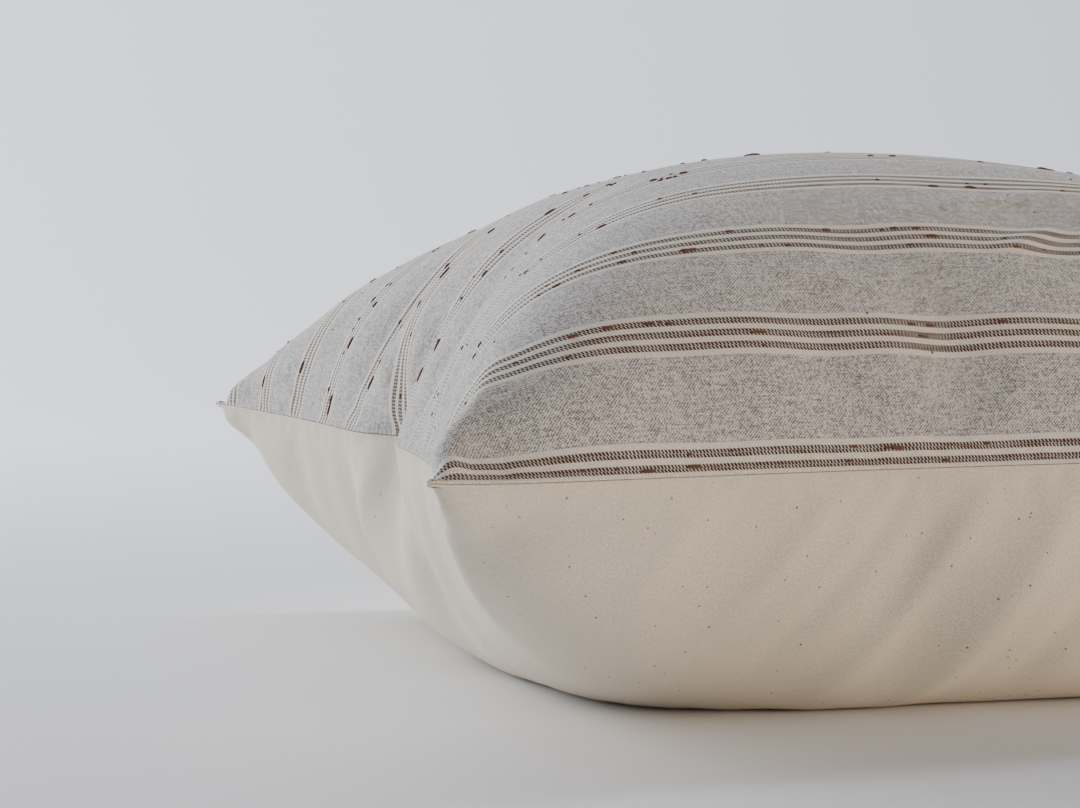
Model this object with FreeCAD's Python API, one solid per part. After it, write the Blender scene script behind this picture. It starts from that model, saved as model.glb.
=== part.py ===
"""Throw pillow: a square two-fabric cover with a concealed zipper, and its stuffed insert.

The pillow lies flat on its canvas back. The origin is on the surface it lies on, under
the middle of the pillow. +Z is up, through the striped front. +Y is the zipper side.
All lengths are in millimetres.

Each side seam of the stuffed pillow is a shallow arc, pulled in between two corners.
The four arcs have the same radius, and each is centred outside the pillow, so whatever
runs along a seam (turnings, threads, the zipper) is turned about that side's centre.
"""

import math
import os

import FreeCAD
import Part
from FreeCAD import Vector

# ---------------------------------------------------------------- driving dimensions
CORNER = 230.0            # stuffed corner, from the middle, along X and along Y
SIDE_PULL = 28.0          # how far a side seam is pulled in at its middle
SEAM_Z = 85.0             # height of the seam line above the surface
CROWN = 107.0             # rise of the striped front above the seam
CLOTH = 1.0               # thickness of either cover fabric
INSERT_INSET = 8.5        # insert seam behind the cover seam, room for turnings and zipper
INSERT_GAP = 1.5          # free space between the cover and the insert, at crown and base
INSERT_CLOTH = 0.5        # thickness of the insert's casing
FILL_GAP = 0.3            # casing to filling

# shape of a stuffed panel, in the panel's flat coordinate from 0 (middle) to 1 (seam)
REACH = 1.26              # how much faster than even the plan position grows near the middle
REACH_POWER = 5           # how late the side wall turns upright
CROWN_POWER = 2.75        # how full the crown stays on its way to the seam
CONTACT = 0.5             # the back lies flat on the surface up to this flat coordinate
BELLY_POWER = 1.8         # how late the back then curls up to the seam
POLES = 25                # control points along a side of a panel surface
RING_POLES = 13           # control points from the contact patch out to the seam

# ---------------------------------------------------------------- seam arcs
SEAM_R = (CORNER**2 + SIDE_PULL**2) / (2 * SIDE_PULL)
CENTRE = CORNER - SIDE_PULL + SEAM_R    # from the pillow's middle to a seam arc's centre
TOP, BOTTOM = 1, -1


def corner_at(inset):
    """Corner coordinate of the square whose sides lie inset behind the cover seam."""
    r = SEAM_R + inset
    return (CENTRE - math.sqrt(2 * r * r - CENTRE**2)) / 2


def half_width(along, inset):
    """Distance from the middle to a side, at a place along it."""
    r = SEAM_R + inset
    return CENTRE - math.sqrt(r * r - along * along)


def reach(flat):
    """Plan position, from -1 to 1, of a flat panel coordinate from -1 to 1."""
    return REACH * flat - (REACH - 1) * flat**REACH_POWER


def plan(s, t, inset):
    """Plan position of a flat panel coordinate."""
    corner = corner_at(inset)
    u, v = reach(s), reach(t)
    return u * half_width(v * corner, inset), v * half_width(u * corner, inset)


def crown_point(s, t, inset, rise):
    """A point of the domed front."""
    share = (1 - abs(s) ** CROWN_POWER) * (1 - abs(t) ** CROWN_POWER)
    return Vector(*plan(s, t, inset), SEAM_Z + rise * share)


def belly_point(s, t, inset, floor):
    """A point of the back, which is flat out to the contact line and then curls up."""
    share = 1
    for flat in (abs(s), abs(t)):
        beyond = max(0, flat - CONTACT) / (1 - CONTACT)
        share *= 1 - beyond**BELLY_POWER
    return Vector(*plan(s, t, inset), SEAM_Z - (SEAM_Z - floor) * share)


def spline_face(poles):
    """A clamped cubic B-spline face over a grid of control points."""
    surface = Part.BSplineSurface()
    knots, mults = [], []
    for count in (len(poles), len(poles[0])):
        spans = count - 3
        knots.append([i / spans for i in range(spans + 1)])
        mults.append([4] + [1] * (spans - 1) + [4])
    surface.buildFromPolesMultsKnots(poles, *mults, *knots, False, False, 3, 3)
    return surface.toShape()


def steps(start, end, count):
    return [start + (end - start) * i / (count - 1) for i in range(count)]


def crown_faces(inset, rise):
    """The front as one face."""
    flat = steps(-1, 1, POLES)
    return [spline_face([[crown_point(s, t, inset, rise) for t in flat] for s in flat])]


def belly_faces(inset, floor):
    """The back as a flat contact patch and four faces around it, which meet on the diagonals."""
    faces = []
    for quarter in range(4):
        poles = []
        for out in steps(CONTACT, 1, RING_POLES):
            row = [belly_point(along * out, out, inset, floor) for along in steps(-1, 1, POLES)]
            poles.append(row)
        face = spline_face(poles)
        face.rotate(Vector(0, 0, 0), Vector(0, 0, 1), 90 * quarter)
        faces.append(face)
    rim = [edge for face in faces for edge in face.Edges if edge.BoundBox.ZMax < floor + 1e-4]
    faces.append(Part.Face(Part.Wire(Part.sortEdges(rim)[0])))
    return faces


def seam_plane_face(faces):
    """The face inside the edges that lie on the seam plane."""
    edges = [edge for face in faces for edge in face.Edges if edge.BoundBox.ZMin > SEAM_Z - 1e-4]
    rim = [edge for edge in edges if edge.BoundBox.ZMax < SEAM_Z + 1e-4]
    return Part.Face(Part.Wire(Part.sortEdges(rim)[0]))


def closed(faces):
    """A half of a pillow, closed by the seam plane."""
    shell = Part.Shell(faces + [seam_plane_face(faces)])
    shell.sewShape()
    solid = Part.Solid(shell)
    if not solid.isValid():
        solid.fix(1e-4, 1e-4, 1e-3)
    return solid


def upper_half(inset, rise):
    return closed(crown_faces(inset, rise))


def lower_half(inset, floor):
    return closed(belly_faces(inset, floor))


def upper_casing(inset, thick, rise):
    """The front of a cloth casing, of even thickness, open on the seam plane."""
    return upper_half(inset, rise).cut(upper_half(inset + thick, rise - thick)).Solids[0]


def lower_casing(inset, thick, floor):
    """The back of a cloth casing."""
    return lower_half(inset, floor).cut(lower_half(inset + thick, floor + thick)).Solids[0]


# ---------------------------------------------------------------- work along one side seam
# A side is built as if it were the zipper side, +Y, then turned to its place about Z.
SIDES = {"zip": 0.0, "left": 90.0, "front": 180.0, "right": 270.0}
SEAM_AXIS = Vector(0, 0, 1)
SEAM_CENTRE = Vector(0, CENTRE, SEAM_Z)


def arc_angle(x):
    """Angle about the seam's centre from the middle of the side to a place x along it."""
    return math.degrees(math.asin(x / SEAM_R))


def along_seam(profile_face, x_from, x_to):
    """Turns a cross-section, drawn at the middle of the side, along the seam arc."""
    start = profile_face.copy()
    start.rotate(SEAM_CENTRE, SEAM_AXIS, arc_angle(x_from))
    return start.revolve(SEAM_CENTRE, SEAM_AXIS, arc_angle(x_to) - arc_angle(x_from))


def section(*corners):
    """A cross-section from (depth, height) corners, measured inward and up from the seam line."""
    ring = [Vector(0, CORNER - SIDE_PULL - depth, SEAM_Z + z) for depth, z in corners]
    return Part.Face(Part.makePolygon(ring + ring[:1]))


def strip_section(depth_from, depth_to, z_from, z_to):
    """A rectangular cross-section."""
    return section(
        (depth_from, z_from), (depth_to, z_from), (depth_to, z_to), (depth_from, z_to)
    )


def thread_section(depth, z, radius):
    """A round cross-section, for a thread or a coil."""
    centre = Vector(0, CORNER - SIDE_PULL - depth, SEAM_Z + z)
    return Part.Face(Part.Wire(Part.makeCircle(radius, centre, Vector(1, 0, 0))))


def on_side(shape, side):
    """Turns work made for the zipper side to another side."""
    turned = shape.copy()
    turned.rotate(Vector(0, 0, 0), Vector(0, 0, 1), SIDES[side])
    return turned


def block(x_from, x_to, depth_from, depth_to, z_from, z_to):
    """A small box beside the seam line at the middle of the zipper side."""
    size = (x_to - x_from, depth_to - depth_from, z_to - z_from)
    corner = Vector(x_from, CORNER - SIDE_PULL - depth_to, SEAM_Z + z_from)
    return Part.makeBox(*size, corner)


nodes = {}

# ---------------------------------------------------------------- zipper sizes
ZIP_END = 165.0           # half the length of the zipper opening
SLIT = 1.6                # gap between the two fabric lips, which the slider's neck runs in
COIL_R = 0.9              # one nylon coil, as a plain rod
COIL_DEPTH = 3.9          # coil centre behind the seam line
COIL_Z = 1.55             # coil centre above or below the seam plane
TAPE = 0.5                # woven tape
TAPE_REACH = 11.0         # outer edge of a tape from the seam plane
STOP_LENGTH = 3.0
SLIDER_LENGTH = 8.0
SLIDER_REST = -157.5      # closed end, where the slider stands at rest, against the top stop
PIN_DEPTH = -3.0          # the pull's pin, outside the seam line
PIN_R = 0.55
EYE_HOLE_R = 0.62
EYE_R = 1.3
PULL_LENGTH = 20.0
PULL_THICK = 1.0

# ---------------------------------------------------------------- cover panels
# On the three sewn sides both panels turn in at the seam, and their turnings lie together
# down the canvas side. Along the zipper each panel has a folded hem behind its lip.
TURNING_END = 185.0       # the turnings are trimmed away short of each corner
TURNING_HEIGHT = 11.0
SEAM_BITE = 0.5           # depth at which a turning leaves its panel
BACK_TURNING = 3.0        # depth of the canvas turning, next to the canvas
LAYER_GAP = 0.1           # between cloths and threads that lie against each other
HEM_BITE = 0.9            # depth at which a hem joins its panel
HEM_DEPTH = 3.5
HEM_Z = (4.0, 12.0)

back_turning_face = BACK_TURNING + CLOTH
front_turning = back_turning_face + LAYER_GAP
front_turning_face = front_turning + CLOTH
front_turning_section = section(
    (SEAM_BITE, LAYER_GAP),
    (SEAM_BITE, LAYER_GAP + CLOTH),
    (front_turning_face, LAYER_GAP + CLOTH),
    (front_turning_face, -TURNING_HEIGHT),
    (front_turning, -TURNING_HEIGHT),
    (front_turning, LAYER_GAP),
)
back_turning_section = section(
    (SEAM_BITE, -LAYER_GAP),
    (SEAM_BITE, -LAYER_GAP - CLOTH),
    (BACK_TURNING, -LAYER_GAP - CLOTH),
    (BACK_TURNING, -TURNING_HEIGHT),
    (back_turning_face, -TURNING_HEIGHT),
    (back_turning_face, -LAYER_GAP),
)
SEWN_SIDES = ("left", "front", "right")


def cover_panel(shell, turning_section, way):
    """A cover panel with its three turnings, its zipper lip cut back and its zipper hem."""
    turning = along_seam(turning_section, -TURNING_END, TURNING_END)
    hem_z = sorted((way * HEM_Z[0], way * HEM_Z[1]))
    hem = along_seam(strip_section(HEM_BITE, HEM_DEPTH, *hem_z), -ZIP_END, ZIP_END)
    opening = along_seam(strip_section(-5, 5, -SLIT / 2, SLIT / 2), -ZIP_END, ZIP_END)
    additions = [on_side(turning, side) for side in SEWN_SIDES] + [hem]
    return shell.cut(opening).fuse(additions).removeSplitter()


nodes["front_panel"] = cover_panel(upper_casing(0, CLOTH, CROWN), front_turning_section, TOP)
nodes["back_panel"] = cover_panel(lower_casing(0, CLOTH, 0), back_turning_section, BOTTOM)

# ---------------------------------------------------------------- seam and overlock threads
THREAD_R = 0.2
OVERLOCK_R = 0.45
STITCH_Z = -2.5           # the lockstitch, just below the seam line
lockstitch = along_seam(
    thread_section(front_turning_face + LAYER_GAP + THREAD_R, STITCH_Z, THREAD_R),
    -TURNING_END,
    TURNING_END,
)
overlock = along_seam(
    thread_section(
        front_turning - LAYER_GAP / 2, -TURNING_HEIGHT - OVERLOCK_R - LAYER_GAP, OVERLOCK_R
    ),
    -TURNING_END,
    TURNING_END,
)
for side in SEWN_SIDES:
    nodes[f"seam_thread_{side}"] = on_side(lockstitch, side)
    nodes[f"overlock_{side}"] = on_side(overlock, side)

# ---------------------------------------------------------------- zipper tapes, coils, stops
TAPE_DEPTH = (COIL_DEPTH - TAPE / 2, COIL_DEPTH + TAPE / 2)
tape_z = COIL_Z + COIL_R + 0.1
coil_end = ZIP_END - STOP_LENGTH - 1

for panel, way in (("front", TOP), ("back", BOTTOM)):
    z_range = sorted((way * tape_z, way * TAPE_REACH))
    nodes[f"zipper_tape_{panel}"] = along_seam(
        strip_section(*TAPE_DEPTH, *z_range), -ZIP_END, ZIP_END
    )
    nodes[f"zipper_coil_{panel}"] = along_seam(
        thread_section(COIL_DEPTH, way * COIL_Z, COIL_R), -coil_end, coil_end
    )
    stitch_z = way * (TAPE_REACH - 3)
    nodes[f"zipper_thread_{panel}"] = along_seam(
        thread_section(TAPE_DEPTH[1] + THREAD_R + LAYER_GAP, stitch_z, THREAD_R),
        -ZIP_END,
        ZIP_END,
    )

stop_section = strip_section(COIL_DEPTH - 1.2, COIL_DEPTH + 1.2, -COIL_Z - COIL_R, COIL_Z + COIL_R)
nodes["zipper_top_stop"] = along_seam(stop_section, -ZIP_END, -ZIP_END + STOP_LENGTH)
nodes["zipper_bottom_stop"] = along_seam(stop_section, ZIP_END - STOP_LENGTH, ZIP_END)

# ---------------------------------------------------------------- zipper slider and pull
NECK = 0.8                # the neck's thickness, between the coils and in the slit
NECK_LENGTH = 4.0
PLATE_Z = 2.6             # half height of the slider's two plates
OUTER_PLATE = (1.9, 2.7)  # depth range of the plate in front of the coils
INNER_PLATE = (5.1, 5.9)  # depth range of the plate behind them
LUG_BACK = (-1.3, -0.5)
EAR_Z = (1.1, 2.0)
EAR_TIP = PIN_DEPTH - 1.0


def at_slider(shape):
    """Turns work made at the middle of the side to where the slider stands at rest."""
    moved = shape.copy()
    moved.rotate(SEAM_CENTRE, SEAM_AXIS, arc_angle(SLIDER_REST))
    return moved


half = SLIDER_LENGTH / 2
pieces = [
    block(-half, half, *OUTER_PLATE, -PLATE_Z, PLATE_Z),
    block(-half, half, *INNER_PLATE, -PLATE_Z, PLATE_Z),
    block(-NECK_LENGTH / 2, NECK_LENGTH / 2, LUG_BACK[0], INNER_PLATE[1], -NECK / 2, NECK / 2),
    block(-1.5, 1.5, *LUG_BACK, -EAR_Z[1], EAR_Z[1]),
]
for way in (TOP, BOTTOM):
    ear_z = sorted((way * EAR_Z[0], way * EAR_Z[1]))
    pieces.append(block(-1.0, 1.0, EAR_TIP, LUG_BACK[1], *ear_z))
pin_foot = Vector(0, CORNER - SIDE_PULL - PIN_DEPTH, SEAM_Z - EAR_Z[1])
pieces.append(Part.makeCylinder(PIN_R, 2 * EAR_Z[1], pin_foot))
slider = pieces[0].fuse(pieces[1:]).removeSplitter()
nodes["zipper_slider"] = at_slider(slider)

EYE_Z = 0.9               # half height of the pull's eye, between the slider's ears
GRIP_FROM = 4.0           # where the narrow neck of the pull widens into its grip
GRIP_Z = 2.6              # half height of the grip
eye_foot = Vector(0, pin_foot.y, SEAM_Z - EYE_Z)
shank = block(0, GRIP_FROM + 1, PIN_DEPTH - PULL_THICK / 2, PIN_DEPTH + PULL_THICK / 2, -EYE_Z, EYE_Z)
grip_length = PULL_LENGTH - GRIP_FROM - GRIP_Z
grip = block(
    GRIP_FROM,
    GRIP_FROM + grip_length,
    PIN_DEPTH - PULL_THICK / 2,
    PIN_DEPTH + PULL_THICK / 2,
    -GRIP_Z,
    GRIP_Z,
)
tip_foot = Vector(GRIP_FROM + grip_length, pin_foot.y - PULL_THICK / 2, SEAM_Z)
tip = Part.makeCylinder(GRIP_Z, PULL_THICK, tip_foot, Vector(0, 1, 0))
eye = Part.makeCylinder(EYE_R, 2 * EYE_Z, eye_foot)
eye_hole = Part.makeCylinder(EYE_HOLE_R, 4 * EYE_Z, eye_foot - Vector(0, 0, EYE_Z))
pull = eye.fuse([shank, grip, tip]).cut(eye_hole).removeSplitter()
nodes["zipper_pull"] = at_slider(pull)

# Where the two joints stand, for whoever poses the zipper.
pin_at_rest = at_slider(Part.Vertex(pin_foot.x, pin_foot.y, SEAM_Z)).Point
print(f"slider turns about {SEAM_CENTRE}, by up to {-2 * arc_angle(SLIDER_REST):.2f} degrees")
print(f"pull turns about {pin_at_rest}")

# ---------------------------------------------------------------- insert
insert_rise = CROWN - CLOTH - INSERT_GAP
insert_floor = CLOTH + INSERT_GAP
nodes["insert_case_front"] = upper_casing(INSERT_INSET, INSERT_CLOTH, insert_rise)
nodes["insert_case_back"] = lower_casing(INSERT_INSET, INSERT_CLOTH, insert_floor)

inside = INSERT_CLOTH + FILL_GAP
fill_inset = INSERT_INSET + inside
upper_fill = upper_half(fill_inset, insert_rise - inside)
lower_fill = lower_half(fill_inset, insert_floor + inside)
nodes["insert_fill"] = upper_fill.fuse(lower_fill).removeSplitter()

# The insert's seam is whipped over by one thread all round, drawn side by side.
WHIP_R = 0.3
whip_depth = INSERT_INSET - WHIP_R - LAYER_GAP
whip = along_seam(thread_section(whip_depth, 0, WHIP_R), -TURNING_END, TURNING_END)
nodes["insert_seam_thread"] = Part.makeCompound([on_side(whip, side) for side in SIDES])

# ---------------------------------------------------------------- write the nodes
os.makedirs("parts", exist_ok=True)
for name, shape in nodes.items():
    solids = shape.Solids
    sound = all(s.isValid() and s.Volume > 0 for s in solids)
    print(f"{name}: {len(solids)} solid(s), {shape.Volume / 1000:.2f} cm3, valid {sound}")
    shape.exportStep(f"parts/{name}.step")
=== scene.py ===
import math

import bpy
import numpy as np
from mathutils import Matrix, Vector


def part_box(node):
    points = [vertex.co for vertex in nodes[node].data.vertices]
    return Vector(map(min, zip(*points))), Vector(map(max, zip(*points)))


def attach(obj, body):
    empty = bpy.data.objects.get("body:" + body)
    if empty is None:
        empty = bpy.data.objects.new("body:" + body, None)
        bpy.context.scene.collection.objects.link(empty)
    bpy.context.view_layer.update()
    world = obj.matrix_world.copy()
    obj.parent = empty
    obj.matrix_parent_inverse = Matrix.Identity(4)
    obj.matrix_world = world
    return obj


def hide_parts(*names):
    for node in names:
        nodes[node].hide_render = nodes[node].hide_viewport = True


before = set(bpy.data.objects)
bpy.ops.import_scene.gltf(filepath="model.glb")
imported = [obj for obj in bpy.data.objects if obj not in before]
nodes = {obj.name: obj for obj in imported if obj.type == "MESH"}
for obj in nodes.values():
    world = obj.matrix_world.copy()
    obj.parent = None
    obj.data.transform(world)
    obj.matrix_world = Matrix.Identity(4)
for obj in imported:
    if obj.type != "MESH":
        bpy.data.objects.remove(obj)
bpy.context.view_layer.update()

# ---------------------------------------------------------------- table, wall and light
# A sheet of matt white paper, laid on a table and swept up behind the pillow without a
# crease. A large window stands to the left and behind; the room fills in from the front.


def linear(code):
    """An sRGB hex colour as linear red, green, blue and alpha."""
    shown = [int(code[i : i + 2], 16) / 255 for i in (1, 3, 5)]
    return [c / 12.92 if c < 0.04045 else ((c + 0.055) / 1.055) ** 2.4 for c in shown] + [1.0]


def add(tree, kind, *values, output=0, inputs=None, **settings):
    """Adds one shader node with its settings, values and links, and gives one of its outputs."""
    made = tree.nodes.new("ShaderNode" + kind)
    for name, value in settings.items():
        setattr(made, name, value)
    for socket, value in [*enumerate(values), *(inputs or {}).items()]:
        if isinstance(value, bpy.types.NodeSocket):
            tree.links.new(value, made.inputs[socket])
        else:
            made.inputs[socket].default_value = value
    return made.outputs[output] if made.outputs else None


def material(name):
    """An empty node material, and its tree."""
    made = bpy.data.materials.new(name)
    made.use_nodes = True
    made.node_tree.nodes.clear()
    return made, made.node_tree


def mesh_object(name, points, faces, material, smooth=True):
    """A mesh piece with one material."""
    mesh = bpy.data.meshes.new(name)
    mesh.from_pydata(np.asarray(points).tolist(), [], np.asarray(faces).tolist())
    mesh.polygons.foreach_set("use_smooth", [smooth] * len(mesh.polygons))
    mesh.materials.append(material)
    mesh.update()
    piece = bpy.data.objects.new(name, mesh)
    bpy.context.scene.collection.objects.link(piece)
    return piece


# Paper: dull and even, with a grain just rough enough to keep its shadows soft.
paper, tree = material("matt_white_paper")
grain = add(tree, "TexNoise", inputs={"Scale": 900.0, "Detail": 3.0})
surface = add(tree, "BsdfPrincipled", inputs={
    "Base Color": linear("#e6e6e6"),
    "Roughness": 0.9,
    "Specular IOR Level": 0.2,
    "Normal": add(tree, "Bump", inputs={"Strength": 0.05, "Distance": 0.0002, "Height": grain}),
})
add(tree, "OutputMaterial", inputs={"Surface": surface})

SWEEP_FRONT, SWEEP_START, SWEEP_R = -3.0, 1.6, 1.2     # near edge, where it rises, bend
SWEEP_HALF_WIDTH = SWEEP_TOP = 4.0
BEND_STEPS = 24
profile = [(SWEEP_FRONT, 0.0), (SWEEP_START, 0.0)]
for step in range(1, BEND_STEPS + 1):
    turn = math.radians(90 * step / BEND_STEPS)
    ahead, rise = SWEEP_R * math.sin(turn), SWEEP_R * (1 - math.cos(turn))
    profile.append((SWEEP_START + ahead, rise))
profile.append((SWEEP_START + SWEEP_R, SWEEP_TOP))
sweep_points = [(x, y, z) for x in (-SWEEP_HALF_WIDTH, SWEEP_HALF_WIDTH) for y, z in profile]
row = len(profile)
sweep_faces = [(i, i + row, i + row + 1, i + 1) for i in range(row - 1)]
sweep = mesh_object("paper_sweep", sweep_points, sweep_faces, paper)

world = bpy.data.worlds.new("room")
world.use_nodes = True
room = world.node_tree.nodes["Background"]
room.inputs["Color"].default_value = linear("#e1e1e2")
room.inputs["Strength"].default_value = 0.42
bpy.context.scene.world = world


def lamp(name, place, towards, size, power, colour):
    """A rectangular soft light, aimed at a point."""
    data = bpy.data.lights.new(name, "AREA")
    data.shape = "RECTANGLE"
    data.size, data.size_y = size
    data.energy = power
    data.color = linear(colour)[:3]
    made = bpy.data.objects.new(name, data)
    bpy.context.scene.collection.objects.link(made)
    made.location = place
    aim = np.array(towards) - np.array(place)
    made.rotation_euler = Vector(aim).to_track_quat("-Z", "Y").to_euler()
    return made


lamp("window", (-1.9, 1.8, 1.1), (0.0, 0.0, 0.1), (1.8, 1.8), 89.0, "#f4f6fb")
lamp("room_front", (2.1, -1.8, 0.4), (0.05, -0.3, 0.0), (2.0, 0.8), 50.0, "#ffe5cb")
lamp("wall_wash", (0.0, 1.6, 2.6), (0.0, 2.6, 0.8), (3.5, 1.0), 82.0, "#dfe8fb")

# ---------------------------------------------------------------- camera
# It stands low, in front of the pillow and to its left, and looks slightly down.
CAMERA_PLACE = (-0.4198, -1.0812, 0.1507)
CAMERA_YAW, CAMERA_PITCH, CAMERA_ROLL = (math.radians(a) for a in (14.59, -2.67, -0.53))
FOCAL = 2914.7 / 1080     # focal length as a share of the picture's width
SENSOR_MM = 36.0

camera_data = bpy.data.cameras.new("camera")
camera_data.sensor_width = SENSOR_MM
camera_data.lens = SENSOR_MM * FOCAL
camera = bpy.data.objects.new("camera", camera_data)
bpy.context.scene.collection.objects.link(camera)
camera.matrix_world = (
    Matrix.Translation(CAMERA_PLACE)
    @ Matrix.Rotation(-CAMERA_YAW, 4, "Z")
    @ Matrix.Rotation(math.radians(90) + CAMERA_PITCH, 4, "X")
    @ Matrix.Rotation(CAMERA_ROLL, 4, "Z")
)
bpy.context.scene.camera = camera

# ---------------------------------------------------------------- cutting and stuffing
# The cover is two 508 mm squares, sewn together along all four sides and stuffed. The
# cloth starts flat, its seam is drawn in to the finished plan, and the filling blows it up.
HALF_CUT = 0.254
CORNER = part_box("front_panel")[1][0]
SEAM_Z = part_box("back_panel")[1][2]
SIDE_PULL = 0.028         # how far a side's middle stands in from the line of its corners
SEAM_R = (CORNER**2 + SIDE_PULL**2) / (2 * SIDE_PULL)
SEAM_CENTRE = CORNER - SIDE_PULL + SEAM_R
CELLS = 60
SEWN_BY, SETTLED_BY = 12, 40     # steps of the simulation
SEWN_RISE, SEWN_DROP = 0.095, 0.092     # the sewn shape's middle above and below the seam
PATTINGS = 40
SEAM_HOLDS = 0.045        # how far in from a seam its gathers keep the cloth from being patted


def half_width(along):
    """Distance from the pillow's middle to a side seam, at a place along it."""
    return SEAM_CENTRE - np.sqrt(SEAM_R**2 - along**2)


def square_grid(cells):
    """Flat coordinates from -1 to 1 of a square panel, along the stripes and across them."""
    line = np.linspace(-1, 1, cells + 1)
    return np.meshgrid(line, line, indexing="ij")


def seam_plan(s, t):
    """Plan position of a flat panel coordinate on the stuffed pillow, in metres. The left
    side has a dent near its middle, 14 mm deep and 22 mm to each side."""
    near_seam = np.maximum(abs(s), abs(t)) ** 8
    u, v = ((1.26 * a - 0.26 * a**5) * (1 - near_seam) + a * near_seam for a in (s, t))
    x = u * half_width(v * CORNER)
    y = v * half_width(u * CORNER)
    dent = np.exp(-(((t * CORNER - 0.006) / 0.022) ** 2)) * np.clip(-s, 0, 1) ** 6
    return x + 0.014 * dent, y


def seam_height(s, t):
    """The seam line's height, which rises a little at the back left corner."""
    return SEAM_Z + 0.006 * np.clip(-s, 0, 1) ** 8 * np.clip(0.5 + 0.5 * t, 0, 1) ** 2


def quads(index):
    """Faces of a grid of vertex numbers."""
    corners = (index[:-1, :-1], index[1:, :-1], index[1:, 1:], index[:-1, 1:])
    return np.stack(corners, -1).reshape(-1, 4)


def stuffed_cover(cells):
    """The simulated cover: the front's and the back's grid of points."""
    s, t = square_grid(cells)
    x, y = seam_plan(s, t)
    seam = seam_height(s, t)
    share = (1 - abs(s) ** 2.75) * (1 - abs(t) ** 2.75)
    above = np.stack([x, y, seam + SEWN_RISE * share], -1)
    below = np.stack([x, y, np.maximum(seam - SEWN_DROP * share, 0.001)], -1)
    on_seam = np.maximum(abs(s), abs(t)) == 1
    front = np.arange(on_seam.size).reshape(on_seam.shape)
    back = front.copy()
    back[~on_seam] = on_seam.size + np.arange((~on_seam).sum())
    sewn = np.concatenate([above.reshape(-1, 3), below[~on_seam]])
    lift = 0.004 * (1 - s**2) * (1 - t**2)
    flat_front = np.stack([s * HALF_CUT, t * HALF_CUT, SEAM_Z + lift], -1)
    flat_back = np.stack([s * HALF_CUT, t * HALF_CUT, SEAM_Z - lift], -1)
    flat = np.concatenate([flat_front.reshape(-1, 3), flat_back[~on_seam]])
    faces = np.concatenate([quads(front), quads(back)[:, ::-1]])

    cloth_mesh = bpy.data.meshes.new("cutting")
    cloth_mesh.from_pydata(flat.tolist(), [], faces.tolist())
    cloth = bpy.data.objects.new("cutting", cloth_mesh)
    bpy.context.scene.collection.objects.link(cloth)
    cloth.shape_key_add(name="cut")
    sewing = cloth.shape_key_add(name="sewn")
    sewing.data.foreach_set("co", sewn.ravel())
    for value, step in ((0, 1), (1, SEWN_BY)):
        sewing.value = value
        sewing.keyframe_insert("value", frame=step)
    seam_points = cloth.vertex_groups.new(name="seam")
    seam_points.add(front[on_seam].tolist(), 1.0, "REPLACE")

    stuffing = cloth.modifiers.new("stuffing", "CLOTH")
    values = {
        "quality": 6, "mass": 0.15, "air_damping": 1.0,
        "tension_stiffness": 40.0, "compression_stiffness": 40.0,
        "shear_stiffness": 0.5, "bending_stiffness": 0.5,
        "tension_damping": 5.0, "compression_damping": 5.0,
        "shear_damping": 5.0, "bending_damping": 0.5,
        "use_pressure": True, "uniform_pressure_force": 30.0,
        "vertex_group_mass": "seam", "pin_stiffness": 1.0,
    }
    for name, value in values.items():
        setattr(stuffing.settings, name, value)
    stuffing.settings.effector_weights.gravity = 0.3
    stuffing.collision_settings.use_self_collision = False
    stuffing.collision_settings.distance_min = 0.001
    stuffing.collision_settings.collision_quality = 2

    board_points = [(0.6 * x, 0.6 * y, 0) for x, y in ((-1, -1), (1, -1), (1, 1), (-1, 1))]
    board = mesh_object("board", board_points, [(0, 1, 2, 3)], paper)
    board.modifiers.new("board", "COLLISION")
    board.collision.thickness_outer = 0.001
    board.collision.cloth_friction = 20
    for step in range(1, SETTLED_BY + 1):
        bpy.context.scene.frame_set(step)
    settled = cloth.evaluated_get(bpy.context.evaluated_depsgraph_get()).to_mesh()
    points = np.zeros(len(settled.vertices) * 3)
    settled.vertices.foreach_get("co", points)
    points = points.reshape(-1, 3)
    for made in (cloth, board):
        bpy.data.objects.remove(made)
    bpy.context.scene.frame_set(1)
    return points[front], points[back]


def patted(grid, rounds):
    """The cloth as hands leave it: short creases patted out. Near a seam, only along it."""
    from_seams = [(1 - abs(a[1:-1, 1:-1, None])) * HALF_CUT for a in square_grid(len(grid) - 1)]
    free_s, free_t = (np.clip(a / SEAM_HOLDS, 0, 1) for a in from_seams)
    for share in (0.5, -0.52) * rounds:
        middle = grid[1:-1, 1:-1]
        along_s = (grid[:-2, 1:-1] + grid[2:, 1:-1]) / 2 - middle
        along_t = (grid[1:-1, :-2] + grid[1:-1, 2:]) / 2 - middle
        grid[1:-1, 1:-1] = middle + share * (free_s * along_s + free_t * along_t) / 2
    return grid


def settled_in_use(front, back):
    """The filling lies unevenly: the crown falls off to the right and to the back, the belly
    spreads a little, and the near ear stands out and up."""
    s, t = square_grid(len(front) - 1)
    front, back = patted(front, PATTINGS), patted(back, PATTINGS)
    fullness = 0.893 - 0.153 * s - 0.112 * t - 0.053 * s * t - 0.026 * (s**2 - 0.3)
    front[..., 2] = SEAM_Z + (front[..., 2] - SEAM_Z) * fullness
    near_ear = np.clip(-s, 0, 1) ** 14 * np.clip(-t, 0, 1) ** 9
    inner = 1 - np.maximum(abs(s), abs(t)) ** 4
    back[..., :2] *= (1 + 0.027 * inner)[..., None]
    back[..., 2] = np.maximum(SEAM_Z - (SEAM_Z - back[..., 2]) * (1 + 0.053 * inner), 0.0006)
    for grid in (front, back):
        grid[..., 0] -= 0.0035 * near_ear
        grid[..., 2] += 0.0015 * near_ear
    return front, back


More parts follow.
